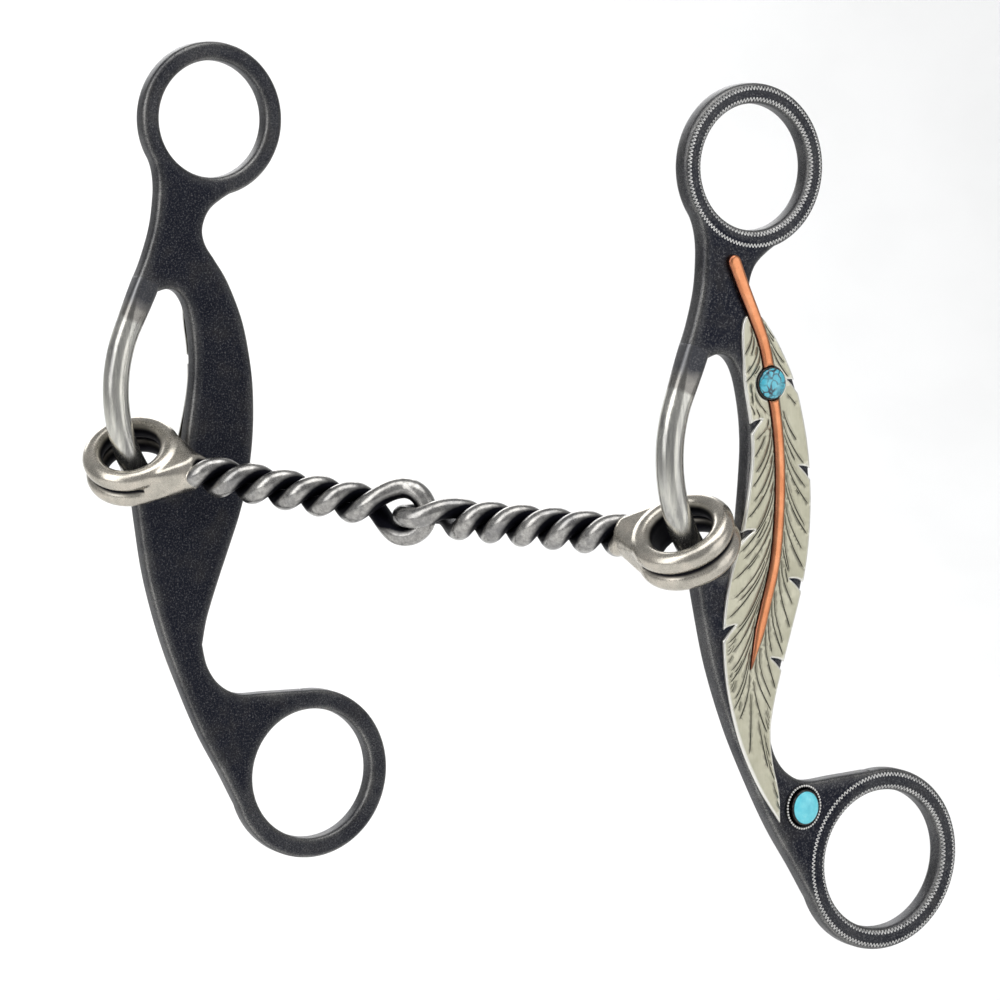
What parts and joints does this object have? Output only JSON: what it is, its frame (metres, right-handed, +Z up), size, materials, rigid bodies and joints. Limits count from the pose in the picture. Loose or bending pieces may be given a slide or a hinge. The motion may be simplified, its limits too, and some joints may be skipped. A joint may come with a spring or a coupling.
{
  "type": "loose-cheek curb bit",
  "caption": "Loose-cheek curb bit: a jointed twisted-wire mouthpiece hung on bow bars between two feather-overlaid shanked cheeks.",
  "frame": {"origin": "centre of the right headstall ring, in the middle of the cheek's thickness", "axes": "-Y out of the right cheek, +Y towards the mouthpiece and the left cheek, +Z up towards the headstall rings, +X back towards the rein rings"},
  "size_m": [0.1536, 0.1349, 0.195],
  "materials": {
    "cheek_steel": "antiqued blue-black steel, mottled, worn at the edges",
    "bow_bar_steel": "polished along its length, darkening towards the top",
    "feather_silver": "hand-engraved nickel silver, warm satin",
    "quill_copper": "polished copper",
    "bezel_metal": "darkened bezel with a worn rim",
    "bead_silver": "antiqued beads with dark gaps",
    "turquoise_round": "polished stone with dark matrix veins",
    "turquoise_oval": "polished stone with dark matrix veins",
    "end_ring_steel": "warm satin steel",
    "mouth_steel": "bright twisted wire with blackened recesses"
  },
  "bodies": {
    "right_cheek": {"right_cheek": "cheek_steel", "right_bow_bar": "bow_bar_steel", "right_feather": "feather_silver", "right_quill": "quill_copper", "right_quill_bezel": "bezel_metal", "right_quill_stone": "turquoise_round", "right_shank_bezel": "bezel_metal", "right_shank_bead_rim": "bead_silver", "right_shank_stone": "turquoise_oval"},
    "right_mouth": {"right_end_rings": "end_ring_steel", "right_neck": "end_ring_steel", "right_twisted_wire": "mouth_steel"},
    "left_mouth": {"left_end_rings": "end_ring_steel", "left_neck": "end_ring_steel", "left_twisted_wire": "mouth_steel"},
    "left_cheek": {"left_cheek": "cheek_steel", "left_bow_bar": "bow_bar_steel", "left_feather": "feather_silver", "left_quill": "quill_copper", "left_quill_bezel": "bezel_metal", "left_quill_stone": "turquoise_round", "left_shank_bezel": "bezel_metal", "left_shank_bead_rim": "bead_silver", "left_shank_stone": "turquoise_oval"}
  },
  "joints": [
    {"name": "right_cheek_swivel", "type": "hinge", "parent": "right_cheek", "child": "right_mouth", "pos_m": [-0.01456, 0, -0.077], "axis": [0, 0, 1], "range_deg": [-55, 20]},
    {"name": "centre_fold", "type": "hinge", "parent": "right_mouth", "child": "left_mouth", "pos_m": [-0.04348, 0.0593, -0.07527], "axis": [0, 0, 1], "range_deg": [-80, 40]},
    {"name": "left_cheek_swivel", "type": "hinge", "parent": "left_mouth", "child": "left_cheek", "pos_m": [-0.0888, 0.11331, -0.06536], "axis": [0, 0, 1], "range_deg": [-2, 100]}
  ]
}
